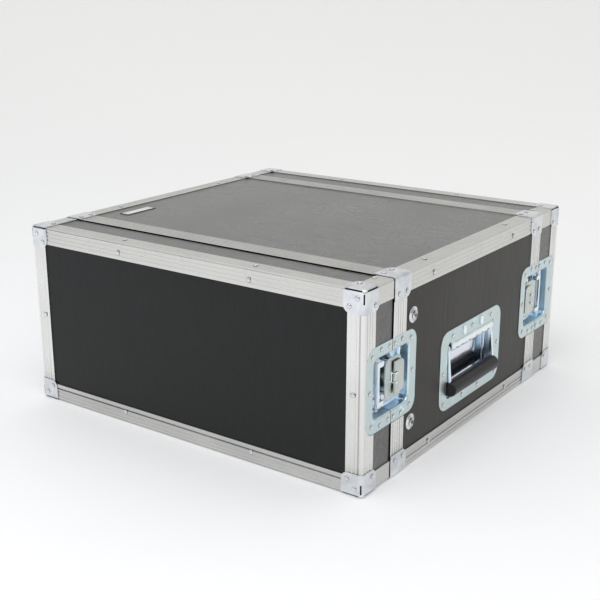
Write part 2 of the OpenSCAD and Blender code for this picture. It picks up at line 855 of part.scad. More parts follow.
// Rivet head on the outer face of the lid, lift above the extrusions
module front_rivet(x, z, lift) {
    translate([x, -yo - lift, z]) rotate([90, 0, 0]) rivet();
}

panel_level(1);  // panel_top
panel_level(-1);  // panel_bottom
panel_side(left);  // panel_left
panel_side(right);  // panel_right
body_edge_angles();
rim(front);  // front_rim_profile
rim(rear);  // rear_rim_profile
body_corner_braces();
rack_rail(left);  // rack_rail_left
rack_rail(right);  // rack_rail_right
rail_spacers();
rail_screws();
cup_washers();
rail_nuts();
body_rivets();
name_plate();
handle_dish(left);  // handle_left_dish
handle_rod(left);  // handle_left_rod
handle_spring(left);  // handle_left_spring
handle_bail(left);  // handle_left_bail
handle_grip(left);  // handle_left_grip
handle_dish(right);  // handle_right_dish
handle_rod(right);  // handle_right_rod
handle_spring(right);  // handle_right_spring
handle_bail(right);  // handle_right_bail
handle_grip(right);  // handle_right_grip
latch_dish(left, front);  // latch_front_left_dish
latch_cam(left, front);  // latch_front_left_cam
latch_wing(left, front);  // latch_front_left_wing
latch_hook(left, front);  // latch_front_left_hook
latch_dish(right, front);  // latch_front_right_dish
latch_cam(right, front);  // latch_front_right_cam
latch_wing(right, front);  // latch_front_right_wing
latch_hook(right, front);  // latch_front_right_hook
latch_dish(left, rear);  // latch_rear_left_dish
latch_cam(left, rear);  // latch_rear_left_cam
latch_wing(left, rear);  // latch_rear_left_wing
latch_hook(left, rear);  // latch_rear_left_hook
latch_dish(right, rear);  // latch_rear_right_dish
latch_cam(right, rear);  // latch_rear_right_cam
latch_wing(right, rear);  // latch_rear_right_wing
latch_hook(right, rear);  // latch_rear_right_hook
latch_covers();
lid_face(front);  // front_lid_face
lid_walls(front);  // front_lid_walls
lid_angles(front);  // front_lid_angles
lid_caps(front);  // front_lid_caps
lid_groove(front);  // front_lid_groove
lid_dishes(front);  // front_lid_dishes
lid_keepers(front);  // front_lid_keepers
lid_rivets(front);  // front_lid_rivets
lid_face(rear);  // rear_lid_face
lid_walls(rear);  // rear_lid_walls
lid_angles(rear);  // rear_lid_angles
lid_caps(rear);  // rear_lid_caps
lid_groove(rear);  // rear_lid_groove
lid_dishes(rear);  // rear_lid_dishes
lid_keepers(rear);  // rear_lid_keepers
lid_rivets(rear);  // rear_lid_rivets
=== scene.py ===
import math

import bmesh
import bpy
from mathutils import Matrix, Vector


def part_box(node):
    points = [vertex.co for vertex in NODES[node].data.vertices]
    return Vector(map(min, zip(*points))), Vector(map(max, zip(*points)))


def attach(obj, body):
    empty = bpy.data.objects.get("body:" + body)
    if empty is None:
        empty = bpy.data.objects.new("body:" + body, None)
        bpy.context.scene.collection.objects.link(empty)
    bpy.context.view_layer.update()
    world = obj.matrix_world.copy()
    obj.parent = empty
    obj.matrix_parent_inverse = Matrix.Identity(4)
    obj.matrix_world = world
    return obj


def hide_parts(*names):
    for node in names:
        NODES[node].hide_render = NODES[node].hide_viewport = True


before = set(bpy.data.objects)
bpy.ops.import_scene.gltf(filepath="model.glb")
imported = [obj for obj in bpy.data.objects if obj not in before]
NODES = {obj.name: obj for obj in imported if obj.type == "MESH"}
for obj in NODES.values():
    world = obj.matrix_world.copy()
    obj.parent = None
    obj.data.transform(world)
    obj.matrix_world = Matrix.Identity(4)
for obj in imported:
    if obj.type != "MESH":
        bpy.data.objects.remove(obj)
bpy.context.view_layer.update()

MM = 0.001

# ---- camera ---------------------------------------------------------------

AZIMUTH, ELEVATION = math.radians(35.52), math.radians(17.30)
CAMERA_AT = Vector((0.8351, -1.1844, 0.5739))
# From the case towards the camera.
BACK = Vector((math.sin(AZIMUTH) * math.cos(ELEVATION),
               -math.cos(AZIMUTH) * math.cos(ELEVATION),
               math.sin(ELEVATION)))


def add_camera():
    data = bpy.data.cameras.new("camera")
    data.lens, data.sensor_width = 63.6, 36.0
    data.clip_start, data.clip_end = 0.05, 60.0
    cam = bpy.data.objects.new("camera", data)
    cam.rotation_euler = (-BACK).to_track_quat("-Z", "Y").to_euler()
    cam.location = CAMERA_AT
    bpy.context.scene.collection.objects.link(cam)
    bpy.context.scene.camera = cam


add_camera()

# ---- mesh helpers ---------------------------------------------------------


def sized(node):
    """A CAD node's lowest and highest corners, in mm."""
    low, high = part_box(node)
    return low / MM, high / MM


LATCH_LOW, LATCH_HIGH = sized("latch_front_right_dish")
HANDLE_LOW, HANDLE_HIGH = sized("handle_right_dish")
ROD_LOW, ROD_HIGH = sized("handle_right_rod")
GRIP_LOW, GRIP_HIGH = sized("handle_right_grip")
SIDES = {"left": -1, "right": 1}
ENDS = {"front": 1, "rear": -1}

# Thicknesses, gaps and reaches, in mm.
DISH_T, CAP_T, LID_GAP, CAP_REACH, SOFT_EDGE = 1.2, 1.2, 1.1, 28.0, 0.25

# Heights above the floor of the middles of the case and of the handles, in mm.
MID_UP = (LATCH_LOW.z + LATCH_HIGH.z) / 2
HANDLE_UP = (HANDLE_LOW.z + HANDLE_HIGH.z) / 2

# Faces of the seam, dishes, edging bars and corner caps, in mm out from the case's middle.
SEAM, FLANGE = -LATCH_LOW.y, LATCH_HIGH.x
LATCH_FLOOR, HANDLE_FLOOR = FLANGE - 14.0, FLANGE - 15.0
BAR_FACE, BAR_UP = 263.8, 122.8
CAP_FACE, CAP_UP = BAR_FACE + CAP_T, BAR_UP + CAP_T


def latch_frame(side, end):
    """(out, into the body, up) in mm from a latch's middle at the seam -> the row frame."""
    return Matrix(((side * MM, 0, 0, 0), (0, end * MM, 0, -end * SEAM * MM),
                   (0, 0, MM, MID_UP * MM), (0, 0, 0, 1)))


def handle_frame(side):
    """(out, along, up) in mm from a handle's middle -> the row frame."""
    return Matrix(((side * MM, 0, 0, 0), (0, MM, 0, 0),
                   (0, 0, MM, HANDLE_UP * MM), (0, 0, 0, 1)))


class Build:
    """Collects vertices and faces, and turns them into one piece."""

    def __init__(self):
        self.verts, self.faces = [], []

    def add(self, shape, matrix):
        verts, faces = shape
        first = len(self.verts)
        self.verts += [matrix @ Vector(v) for v in verts]
        self.faces += [tuple(i + first for i in f) for f in faces]
        return self

    def piece(self, name, body, look, slot, replaced=()):
        obj = object_from(name, self.verts, self.faces)
        obj.data.materials.append(MATS[look])
        even_normals(obj)
        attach(obj, body)
        if replaced:
            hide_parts(*replaced)


def object_from(name, verts, faces):
    """A mesh object that is smooth between its sharp edges."""
    mesh = bpy.data.meshes.new(name)
    mesh.from_pydata([tuple(v) for v in verts], [], faces)
    mesh.validate()
    bm = bmesh.new()
    bm.from_mesh(mesh)
    bmesh.ops.recalc_face_normals(bm, faces=bm.faces)
    bm.to_mesh(mesh)
    bm.free()
    for polygon in mesh.polygons:
        polygon.use_smooth = True
    mesh.set_sharp_from_angle(angle=math.radians(50))
    obj = bpy.data.objects.new(name, mesh)
    bpy.context.scene.collection.objects.link(obj)
    return obj


def even_normals(obj, width=None):
    """Rounds sharp edges where a width is given, and shades flat faces flat."""
    if width:
        weld = obj.modifiers.new("weld", "WELD")
        weld.merge_threshold = 0.00001
        bevel = obj.modifiers.new("bevel", "BEVEL")
        bevel.width = width
        bevel.segments = 2
        bevel.limit_method = "ANGLE"
        bevel.angle_limit = math.radians(40)
    weighted = obj.modifiers.new("normals", "WEIGHTED_NORMAL")
    weighted.mode = "FACE_AREA"
    weighted.weight = 80
    weighted.keep_sharp = True


def loft(rings, capped=True):
    """Closed rings of equally many points, joined one to the next."""
    n = len(rings[0])
    verts = [v for ring in rings for v in ring]
    faces = [(i * n + j, i * n + (j + 1) % n, (i + 1) * n + (j + 1) % n, (i + 1) * n + j)
             for i in range(len(rings) - 1) for j in range(n)]
    if capped:
        last = (len(rings) - 1) * n
        faces += [tuple(range(n)), tuple(range(last, last + n))]
    return verts, faces


def loop_loft(rings):
    """Rings joined one to the next, and the last to the first."""
    verts, faces = loft(rings, capped=False)
    n, last = len(rings[0]), (len(rings) - 1) * len(rings[0])
    faces += [(last + j, last + (j + 1) % n, (j + 1) % n, j) for j in range(n)]
    return verts, faces


def rounded_ring(out, half_a, half_b, r, mid_a=0.0, mid_b=0.0, steps=8):
    """A rounded rectangle in the (along, up) plane at a distance out."""
    ring = []
    for k, (sa, sb) in enumerate(((1, 1), (-1, 1), (-1, -1), (1, -1))):
        for i in range(steps + 1):
            t = math.radians(90 * (k + i / steps))
            ring.append((out, mid_a + sa * (half_a - r) + r * math.cos(t),
                         mid_b + sb * (half_b - r) + r * math.sin(t)))
    return ring


def lathe(profile, steps, axis="out"):
    """Turns (radius, height) points about an axis, with both ends closed."""
    rings = []
    for r, h in profile:
        ring = []
        for i in range(steps):
            t = 2 * math.pi * i / steps
            a, b = r * math.cos(t), r * math.sin(t)
            ring.append((h, a, b) if axis == "out" else (a, h, b) if axis == "along" else (a, b, h))
        rings.append(ring)
    return loft(rings)


def soft_levels(low, high, edge):
    """Heights and insets that soften a plate's two edges."""
    return ((low, edge), (low + edge * 0.3, edge * 0.3), (low + edge, 0.0),
            (high - edge, 0.0), (high - edge * 0.3, edge * 0.3), (high, edge))


def slab(outline, low, high, edge):
    """A flat convex plate with softened edges; the outline is (a, b) points."""
    mid_a = sum(a for a, b in outline) / len(outline)
    mid_b = sum(b for a, b in outline) / len(outline)
    reach = max(math.hypot(a - mid_a, b - mid_b) for a, b in outline)

    def level(height, inset):
        k = 1 - inset / reach
        return [(height, mid_a + (a - mid_a) * k, mid_b + (b - mid_b) * k) for a, b in outline]

    return loft([level(height, inset) for height, inset in soft_levels(low, high, edge)])


def tube(path, r, steps):
    """A round wire along a list of points."""
    points = [Vector(p) for p in path]
    rings, side = [], None
    for i, p in enumerate(points):
        along = (points[min(i + 1, len(points) - 1)] - points[max(i - 1, 0)]).normalized()
        if side is None:
            side = along.orthogonal().normalized()
        side = (side - along * side.dot(along)).normalized()
        up = along.cross(side)
        rings.append([p + r * (math.cos(t) * side + math.sin(t) * up)
                      for t in (2 * math.pi * k / steps for k in range(steps))])
    return loft(rings)


def moved(shape, x, y, z):
    verts, faces = shape
    return [(v[0] + x, v[1] + y, v[2] + z) for v in verts], faces


# ---- materials ------------------------------------------------------------


class Look:
    """A Principled material with helpers for its procedural nodes."""

    def __init__(self, name, **sockets):
        self.mat = bpy.data.materials.new(name)
        self.mat.use_nodes = True
        self.tree = self.mat.node_tree
        self.shader = self.tree.nodes["Principled BSDF"]
        self.coords = self.tree.nodes.new("ShaderNodeTexCoord")
        for socket, value in sockets.items():
            self.shader.inputs[socket.replace("_", " ")].default_value = value

    def link(self, a, b):
        self.tree.links.new(a, b)

    def noise(self, scale, stretch=(1, 1, 1), detail=3.0, rough=0.5, distort=0.0):
        mapping = self.tree.nodes.new("ShaderNodeMapping")
        mapping.inputs["Scale"].default_value = stretch
        self.link(self.coords.outputs["Object"], mapping.inputs["Vector"])
        tex = self.tree.nodes.new("ShaderNodeTexNoise")
        tex.inputs["Scale"].default_value = scale
        tex.inputs["Detail"].default_value = detail
        tex.inputs["Roughness"].default_value = rough
        tex.inputs["Distortion"].default_value = distort
        self.link(mapping.outputs["Vector"], tex.inputs["Vector"])
        return tex.outputs["Fac"]

    def ramp(self, value, stops):
        node = self.tree.nodes.new("ShaderNodeValToRGB")
        while len(node.color_ramp.elements) < len(stops):
            node.color_ramp.elements.new(0.5)
        for element, (at, colour) in zip(node.color_ramp.elements, stops):
            element.position = at
            element.color = (*colour, 1.0)
        self.link(value, node.inputs["Fac"])
        return node.outputs["Color"]

    def spread(self, value, low, high, start=0.3, end=0.7):
        """low to high as the value goes from start to end, and no further."""
        node = self.tree.nodes.new("ShaderNodeMapRange")
        for socket, number in (("From Min", start), ("From Max", end),
                               ("To Min", low), ("To Max", high)):
            node.inputs[socket].default_value = number
        self.link(value, node.inputs["Value"])
        return node.outputs["Result"]

    def math(self, operation, a, b):
        node = self.tree.nodes.new("ShaderNodeMath")
        node.operation = operation
        for socket, value in zip(node.inputs, (a, b)):
            if isinstance(value, (int, float)):
                socket.default_value = value
            else:
                self.link(value, socket)
        return node.outputs["Value"]

    def edges(self):
        """Near 0.5 on flat faces, higher along outer edges and lower in grooves."""
        return self.tree.nodes.new("ShaderNodeNewGeometry").outputs["Pointiness"]

    def mix(self, *parts):
        """The sum of (output, weight) parts."""
        total = 0.0
        for output, weight in parts:
            total = self.math("ADD", self.math("MULTIPLY", output, weight), total)
        return total

    def part_of(self, vector, axis):
        """A vector's X, Y or Z."""
        split = self.tree.nodes.new("ShaderNodeSeparateXYZ")
        self.link(vector, split.inputs["Vector"])
        return split.outputs[axis]

    def facing_up(self):
        """1 on level faces and 0 on upright ones."""
        normal = self.tree.nodes.new("ShaderNodeNewGeometry").outputs["Normal"]
        return self.spread(self.part_of(normal, "Z"), 0.0, 1.0, 0.5, 0.9)

    def place(self, axis):
        """A point's place along an axis of the row frame, in metres."""
        return self.part_of(self.coords.outputs["Object"], axis)

    def away(self, axis, middle=0.0):
        """A point's distance, in metres, from a level in mm along an axis."""
        return self.math("ABSOLUTE", self.math("SUBTRACT", self.place(axis), middle * MM), 0.0)

    def rise(self, value, start, end):
        """0 to 1 as a value in metres passes from one level in mm to the next."""
        return self.spread(value, 0.0, 1.0, start * MM, end * MM)

    def fall(self, value, start, end):
        """1 to 0 as a value in metres passes from one level in mm to the next."""
        return self.spread(value, 1.0, 0.0, start * MM, end * MM)

    def painted_seam_shade(self):
        """1 on the outer edge of the body's rim, which shows in the seam with a lid: where the seam's
        shade is painted.
        """
        along, edge, fade = self.away("Y"), 3.0, 0.4
        rim = self.math("MULTIPLY", self.rise(along, SEAM - 0.3, SEAM - 0.15),
                        self.fall(along, SEAM + 0.7, SEAM + 0.9))
        at_side = self.rise(self.away("X"), BAR_FACE - edge, BAR_FACE - edge + fade)
        at_top = self.rise(self.away("Z", MID_UP), BAR_UP - edge, BAR_UP - edge + fade)
        return self.math("MULTIPLY", self.math("MAXIMUM", at_side, at_top), rim)

    def painted_shade_under_caps(self):
        """1 where a lid's corner cap covers the metal, so that painted shade shows in its slits; 0
        elsewhere.
        """
        inside = 1.0
        for axis, face, middle in (("X", CAP_FACE, 0.0), ("Y", CAP_FACE, 0.0), ("Z", CAP_UP, MID_UP)):
            near = self.rise(self.away(axis, middle), face - CAP_REACH, face - CAP_REACH + 1.0)
            inside = self.math("MULTIPLY", near, inside)
        return inside

    def colour(self, output):
        self.link(output, self.shader.inputs["Base Color"])

    def roughness(self, output):
        self.link(output, self.shader.inputs["Roughness"])

    def bump(self, *layers):
        """Layers are (height output, depth in metres); they are stacked."""
        normal = None
        for height, depth in layers:
            node = self.tree.nodes.new("ShaderNodeBump")
            node.inputs["Strength"].default_value = 1.0
            node.inputs["Distance"].default_value = depth
            self.link(height, node.inputs["Height"])
            if normal:
                self.link(normal, node.inputs["Normal"])
            normal = node.outputs["Normal"]
        self.link(normal, self.shader.inputs["Normal"])


# Levels for the aluminium: where its painted top tone starts, and where its painted shade near the
# floor fades out.
PAINTED_TOP_TONE_LEVELS, FLOOR_SHADE_LEVELS = (220.0, 222.0), (22.0, 40.0)      # levels in mm above the floor


def laminate(name, dark, light, along, specular, rough, wave):
    """Embossed wood grain that runs along an axis, over wrinkles a wave deep."""
    look = Look(name, Specular_IOR_Level=specular)
    stretch = tuple(0.22 if i == along else 1.0 for i in range(3))
    grain = look.noise(150.0, stretch, detail=6.0, rough=0.62, distort=1.1)
    fine = look.noise(1500.0, detail=2.0)
    cloud = look.noise(7.0)
    wrinkle = look.noise(42.0, stretch, distort=1.8)
    look.colour(look.ramp(grain, [(0.35, dark), (0.68, light)]))
    look.roughness(look.spread(look.mix((grain, 0.6), (cloud, 0.4)), rough - 0.07, rough + 0.09))
    look.bump((wrinkle, wave), (grain, 0.00016), (fine, 0.00002))
    return look.mat


def aluminium():
    """Ribbed edging with its shading painted: painted shade in the grooves, one painted tone on top
    faces, darker than the upright faces and without groove shade, painted shade near the floor, and
    near-black painted shade in gaps.
    """
    look = Look("aluminium_satin", Metallic=1.0)
    brushed = look.noise(700.0, detail=2.0)
    cloud = look.noise(14.0, detail=4.0)
    # Painted shade: the grooves, where the pointiness is low, go dark.
    painted_groove_shade = look.spread(look.edges(), 0.0, 1.0, 0.45, 0.52)
    level = look.facing_up()
    # Painted light: top faces and all above the top level get one tone, darker than the flats of the
    # upright faces, with no groove shade.
    painted_top_tone = look.math("MAXIMUM", level, look.rise(look.place("Z"), *PAINTED_TOP_TONE_LEVELS))
    painted_groove_shade = look.math("MULTIPLY", painted_groove_shade, look.math("SUBTRACT", 1.0, painted_top_tone))
    # Painted shade, darkest at the floor.
    painted_floor_shade = look.fall(look.place("Z"), *FLOOR_SHADE_LEVELS)
    tone = look.mix((cloud, 0.2), (painted_groove_shade, 0.8), (painted_top_tone, 0.64), (painted_floor_shade, -0.22))
    # Painted shade: near black on the body's rim at the seam, and where the caps' slits show the
    # metal.
    dark = look.math("MAXIMUM", look.painted_shade_under_caps(), look.painted_seam_shade())
    tone = look.math("MULTIPLY", tone, look.math("SUBTRACT", 1.0, dark))
    look.colour(look.ramp(tone, [(0.1, (0.02, 0.02, 0.022)), (0.3, (0.16, 0.16, 0.17)),
                                 (0.6, (0.54, 0.54, 0.53)), (0.8, (0.68, 0.672, 0.642)),
                                 (0.98, (0.84, 0.84, 0.83))]))
    look.roughness(look.mix((look.spread(cloud, 0.22, 0.30), 1.0), (level, 0.16)))
    look.bump((brushed, 0.000005))
    return look.mat


def plating(name, rough_low, rough_high):
    """A plated metal and its cloudiness, which the caller turns into colour."""
    look = Look(name, Metallic=1.0)
    cloud = look.noise(45.0, detail=4.0, rough=0.55, distort=0.8)
    fine = look.noise(900.0, detail=2.0)
    look.roughness(look.spread(cloud, rough_low, rough_high))
    look.bump((fine, 0.00001), (cloud, 0.00006))
    return look, cloud


def plated(name, low, high, rough_low, rough_high):
    """A plated metal that drifts between two tones."""
    look, cloud = plating(name, rough_low, rough_high)
    look.colour(look.ramp(cloud, [(0.32, low), (0.68, high)]))
    return look.mat


def nickel():
    """Bright heads with a dark rim of painted shade, where their edge is sharpest."""
    look, cloud = plating("nickel", 0.08, 0.16)
    # Painted shade round each head's sharp rim.
    rim = look.spread(look.edges(), 0.0, 0.6, 0.53, 0.60)
    tone = look.math("ADD", look.mix((cloud, 0.4), (rim, -1.0)), 0.6)
    look.colour(look.ramp(tone, [(0.15, (0.07, 0.07, 0.075)), (0.5, (0.34, 0.35, 0.36)),
                                 (0.75, (0.66, 0.68, 0.69)), (0.9, (0.84, 0.85, 0.85))]))
    return look.mat


def zinc_blue():
    """Blue zinc toned by depth as painted light: lilac floor, blue walls, a greyer flange, and a
    painted highlight where raised.
    """
    look = Look("zinc_blue", Metallic=1.0)
    cloud = look.noise(38.0, detail=5.0, rough=0.6, distort=1.6)
    fine = look.noise(900.0, detail=2.0)
    out = look.away("X")
    blotch = look.math("SUBTRACT", cloud, 0.55)
    level = look.mix((look.rise(out, FLANGE - 15.0, FLANGE + 1.0), 1.0), (blotch, 0.30))
    # Painted highlight: all that stands out from the flange, the pressed bumps and the hinge cover,
    # goes near white.
    level = look.math("MAXIMUM", level, look.rise(out, FLANGE + 0.2, FLANGE + 0.8))
    look.colour(look.ramp(level, [
        (0.05, (0.80, 0.83, 0.92)), (0.13, (0.70, 0.82, 0.94)), (0.28, (0.56, 0.78, 0.95)),
        (0.62, (0.66, 0.86, 0.96)), (0.82, (0.66, 0.80, 0.86)), (0.90, (0.60, 0.67, 0.65)),
        (0.96, (0.57, 0.71, 0.76)), (1.0, (0.90, 0.95, 0.96))]))
    look.roughness(look.spread(level, 0.10, 0.32, 0.10, 0.25))
    look.bump((fine, 0.00001), (cloud, 0.00008))
    return look.mat


def rubber():
    look = Look("grip_rubber", Specular_IOR_Level=0.32)
    pores = look.noise(1300.0)
    wear = look.noise(30.0, detail=4.0)
    look.colour(look.ramp(wear, [(0.3, (0.010, 0.009, 0.009)), (0.7, (0.022, 0.019, 0.018))]))
    look.roughness(look.spread(wear, 0.30, 0.42))
    look.bump((pores, 0.00003))
    return look.mat


def name_plate():
    """Brushed plate with a dark band of painted shade round its edge."""
    look = Look("plate_brushed", Metallic=1.0)
    brushed = look.noise(500.0, (1.0, 0.1, 1.0))
    low, high = sized("name_plate")
    # Painted shade: the outer 2 mm of the plate goes near black.
    painted_edge_shade = 0.0
    for axis, near, far in (("X", low.x, high.x), ("Y", low.y, high.y)):
        half = (far - near) / 2
        line = look.rise(look.away(axis, (near + far) / 2), half - 2.0, half - 1.6)
        painted_edge_shade = look.math("MAXIMUM", line, painted_edge_shade)
    tone = look.math("ADD", look.mix((brushed, 0.3), (painted_edge_shade, -0.7)), 0.7)
    look.colour(look.ramp(tone, [(0.15, (0.05, 0.05, 0.052)), (0.75, (0.74, 0.74, 0.73)),
                                 (0.9, (0.90, 0.90, 0.89))]))
    look.roughness(look.spread(brushed, 0.24, 0.36))
    look.bump((brushed, 0.00002))
    return look.mat


def plywood():
    look = Look("birch_plywood", Specular_IOR_Level=0.3)
    ply = look.noise(260.0, (1.0, 0.15, 0.15), detail=4.0)
    look.colour(look.ramp(ply, [(0.3, (0.42, 0.28, 0.15)), (0.7, (0.66, 0.50, 0.32))]))
    look.roughness(look.spread(ply, 0.55, 0.75))
    look.bump((ply, 0.0001))
    return look.mat


def powder_coat():
    look = Look("powder_coat_black", Specular_IOR_Level=0.5)
    orange = look.noise(1100.0, detail=2.0)
    cloud = look.noise(20.0)
    look.colour(look.ramp(cloud, [(0.3, (0.012, 0.012, 0.013)), (0.7, (0.02, 0.02, 0.021))]))
    look.roughness(look.spread(orange, 0.38, 0.5))
    look.bump((orange, 0.00004))
    return look.mat


X, Z = 0, 2
MATS = {
    # One laminate in three copies, whose base tones are painted light and shade: lightest on the
    # panels and lid walls with grain along X, darker on the side panels, darkest on the lid faces.
    "laminate_x_painted_lightest": laminate("laminate_grain_x_painted_lightest", (0.043, 0.043, 0.042), (0.102, 0.101, 0.095),
                           X, 1.0, 0.29, 0.0004),
    "laminate_z_painted_darker": laminate("laminate_grain_z_painted_darker", (0.0115, 0.0100, 0.0086), (0.026, 0.0218, 0.0170),
                           Z, 0.34, 0.38, 0.0003),
    "laminate_face_painted_darkest": laminate("laminate_face_painted_darkest", (0.0055, 0.0062, 0.0062), (0.0085, 0.0092, 0.0092),
                              Z, 0.28, 0.34, 0.0001),
    "aluminium": aluminium(),
    "steel": plated("corner_steel", (0.56, 0.59, 0.64), (0.82, 0.83, 0.83), 0.14, 0.26),
    "zinc": zinc_blue(),
    "part": plated("zinc_bright", (0.50, 0.55, 0.53), (0.68, 0.70, 0.65), 0.26, 0.40),
    "bright": plated("zinc_white_blue", (0.74, 0.84, 0.90), (0.92, 0.96, 0.97), 0.10, 0.22),
    "nickel": nickel(),
    "plate": name_plate(),
    "rubber": rubber(),
    "wood": plywood(),
    "coat": powder_coat(),
}


def look_of(node):
    """The key in MATS of a CAD node's material."""
    if node in ("panel_left", "panel_right"):
        return "laminate_z_painted_darker"
    if node.endswith("lid_face"):
        return "laminate_face_painted_darkest"
    if node.startswith("panel_") or node.endswith("lid_walls"):
        return "laminate_x_painted_lightest"
    if "angles" in node or "profile" in node or "groove" in node:
        return "aluminium"
    if "dish" in node:
        return "zinc"
    if "grip" in node:
        return "rubber"
    if "rack_rail" in node:
        return "coat"
    if node == "rail_spacers":
        return "wood"
    if node == "name_plate":
        return "plate"
    if "rivets" in node or node in ("rail_screws", "cup_washers", "rail_nuts"):
        return "nickel"
    if "caps" in node or "braces" in node:
        return "steel"
    if "hook" in node or "cam" in node:
        return "bright"
    return "part"


for node_name, obj in NODES.items():
    obj.data.materials.clear()
    obj.data.materials.append(MATS[look_of(node_name)])
    flat = "laminate" in look_of(node_name)
    for polygon in obj.data.polygons:
        polygon.use_smooth = not flat
    if not flat:
        even_normals(obj, SOFT_EDGE * MM)

# ---- pressed dishes -------------------------------------------------------

# (half length along, half height, corner radius, middle height) in mm.
LATCH_OUTER, LATCH_OPENING = (55, 52, 16, 0), (39, 36, 8, 0)
HANDLE_OUTER, HANDLE_OPENING = (84, 53, 18, 0), (64, 36.5, 5, -1.5)


def dish_rings(outer, opening, floor):
    """Rings of a pressed dish: over the flange, down the wall, and back underneath."""
    back = FLANGE - DISH_T + 0.03

    def out_ring(out, inset):
        half_a, half_b, r, middle = outer
        return rounded_ring(out, half_a - inset, half_b - inset, r - inset, mid_b=middle)

    def pan_ring(out, grow):
        half_a, half_b, r, middle = opening
        return rounded_ring(out, half_a + grow, half_b + grow, max(r + grow, 2.0), mid_b=middle)

    rings = [out_ring(back, 0.15), out_ring(back + 0.5, 0.0), out_ring(FLANGE - 0.25, 0.1),
             out_ring(FLANGE - 0.05, 0.45), out_ring(FLANGE, 0.9)]
    rings += [pan_ring(FLANGE, 3.6), pan_ring(FLANGE - 0.12, 2.4), pan_ring(FLANGE - 0.6, 1.2),
              pan_ring(FLANGE - 1.5, 0.45), pan_ring(FLANGE - 2.8, 0.1), pan_ring(FLANGE - 5, 0.0),
              pan_ring(floor + 3.4, 0.0), pan_ring(floor + 2.0, -0.35), pan_ring(floor + 1.0, -1.1),
              pan_ring(floor + 0.3, -2.2), pan_ring(floor, -3.6)]
    under = [pan_ring(floor - DISH_T, -3.6), pan_ring(floor - DISH_T, -1.0),
             pan_ring(floor - DISH_T + 1.2, 0.8), pan_ring(floor + 2.5, DISH_T),
             pan_ring(back - 0.6, DISH_T), pan_ring(back, DISH_T + 0.8)]
    return rings, under


def closed_dish(rings, under):
    """Joins the two sides at the flange's edge, and gives each its own floor."""
    verts, faces = loop_loft(rings + under)
    n = len(rings[0])
    last_top, first_under = (len(rings) - 1) * n, len(rings) * n
    ring_faces = {(last_top + j, last_top + (j + 1) % n, first_under + (j + 1) % n, first_under + j)
                  for j in range(n)}
    faces = [f for f in faces if f not in ring_faces]
    faces += [tuple(range(last_top, last_top + n)), tuple(range(first_under, first_under + n))]
    return verts, faces


def cut_at(shape, along, keep):
    """Keeps the half of a closed shape on one side of a level, and closes the cut."""
    verts, faces = shape
    bm = bmesh.new()
    made = [bm.verts.new(v) for v in verts]
    for f in faces:
        bm.faces.new([made[i] for i in f])
    cut = bmesh.ops.bisect_plane(
        bm, geom=bm.verts[:] + bm.edges[:] + bm.faces[:], plane_co=(0, along, 0),
        plane_no=(0, keep, 0), clear_inner=True)
    edges = [e for e in cut["geom_cut"] if isinstance(e, bmesh.types.BMEdge)]
    bmesh.ops.holes_fill(bm, edges=edges, sides=0)
    bm.verts.index_update()
    result = [tuple(v.co) for v in bm.verts], [tuple(v.index for v in f.verts) for f in bm.faces]
    bm.free()
    return result


latch_dish = closed_dish(*dish_rings(LATCH_OUTER, LATCH_OPENING, LATCH_FLOOR))
body_half = cut_at(latch_dish, 0.0, 1)
lid_half = cut_at(latch_dish, -LID_GAP, -1)

for end_name, end in ENDS.items():
    lid = Build()
    for side_name, side in SIDES.items():
        place = latch_frame(side, end)
        name = f"latch_{end_name}_{side_name}"
        Build().add(body_half, place).piece(f"{name}_pressed_dish", "case_body", "zinc",
                                            "zinc_plate", [f"{name}_dish"])
        lid.add(lid_half, place)
    lid.piece(f"{end_name}_lid_pressed_dishes", f"{end_name}_lid", "zinc", "zinc_plate",
              [f"{end_name}_lid_dishes"])

# ---- recessed handles -----------------------------------------------------

ROD_OUT = (ROD_LOW.x + ROD_HIGH.x) / 2
ROD_UP = (ROD_LOW.z + ROD_HIGH.z) / 2 - HANDLE_UP
GRIP_OUT = (GRIP_LOW.x + GRIP_HIGH.x) / 2
GRIP_UP = (GRIP_LOW.z + GRIP_HIGH.z) / 2 - HANDLE_UP
GRIP_HALF = GRIP_HIGH.y
GRIP_R = (GRIP_HIGH.z - GRIP_LOW.z) / 2
ARM_IN, ARM_T, ARM_HALF, STRAP_HALF, FOOT_R = 58.2, 4.0, 3.8, 2.2, 4.6
BAR_R, SPRING_HALF, COVER_HALF = 4.0, 11.0, 57.5
NOTCHES, NOTCH_HALF = (-45, -30, -10, 12, 27, 44), 2.5
BUMPS_ALONG, BUMP_UP, BUMP_HALF_W, BUMP_HALF_H, BUMP_HIGH = (-24, 24), 44.0, 3.4, 6.4, 2.6

# The hinge cover's section as (out from the flange, up from the rod), in mm.
COVER_TOP = [(-0.3, 10.4), (0.03, 9.6), (-0.05, 8.4), (-0.35, 7.4), (0.1, 6.4), (0.65, 5.2),
             (1.3, 3.6), (1.65, 2.0), (1.7, 0.0)]
COVER_CURL = [(1.55, -1.4), (1.2, -2.6), (0.7, -3.6), (-0.1, -4.6), (-0.9, -3.9), (-0.3, -3.1)]
COVER_NOTCHED = [(1.68, -0.2), (1.6, -0.6), (1.5, -0.9), (1.2, -1.0), (0.9, -1.0), (0.6, -0.9)]
COVER_UNDER = [(0.3, -0.8), (0.4, -0.4), (0.5, 0.0), (0.5, 1.8), (0.1, 3.2), (-0.6, 4.8), (-1.15, 7.0)]


